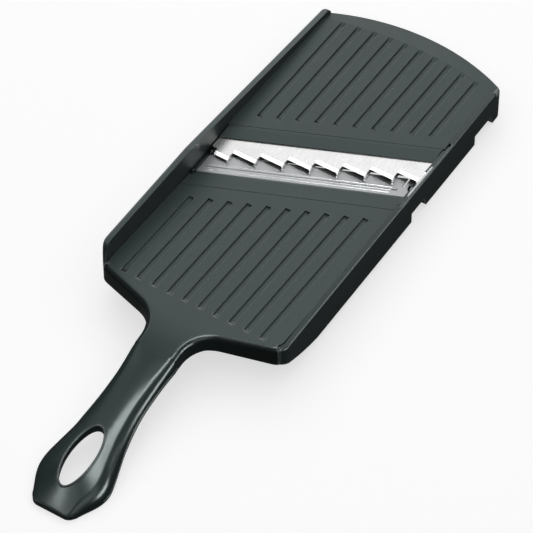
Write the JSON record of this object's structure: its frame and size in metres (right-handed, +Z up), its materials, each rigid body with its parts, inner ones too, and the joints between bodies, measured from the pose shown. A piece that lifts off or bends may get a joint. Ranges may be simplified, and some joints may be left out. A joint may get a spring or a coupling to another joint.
{
  "type": "vegetable stick slicer",
  "caption": "Handheld vegetable slicer: a slanted stepped steel blade insert between two grooved beds, a guide wall along one side and a hollow handle with a hang hole.",
  "frame": {"origin": "middle of the base of the whole slicer's box, on the table it stands on", "axes": "+Y along the feed, from the handle to the far lip; +Z up; +X to the right of a user holding the handle"},
  "size_m": [0.1056, 0.34, 0.0371],
  "materials": {
    "housing": "satin dark grey",
    "blade_steel": "brushed"
  },
  "bodies": {
    "frame": {"frame": "housing", "handle_deck": "housing"},
    "blade_insert": {"insert_carrier": "housing", "blade_clamp": "housing", "stick_blade": "blade_steel", "slitter_comb": "blade_steel", "guide_plate": "blade_steel"}
  },
  "joints": [
    {"name": "blade_insert_lift", "type": "slide", "parent": "frame", "child": "blade_insert", "axis": [0, 0.0282, 0.9996], "range_m": [0, 0.035]}
  ]
}
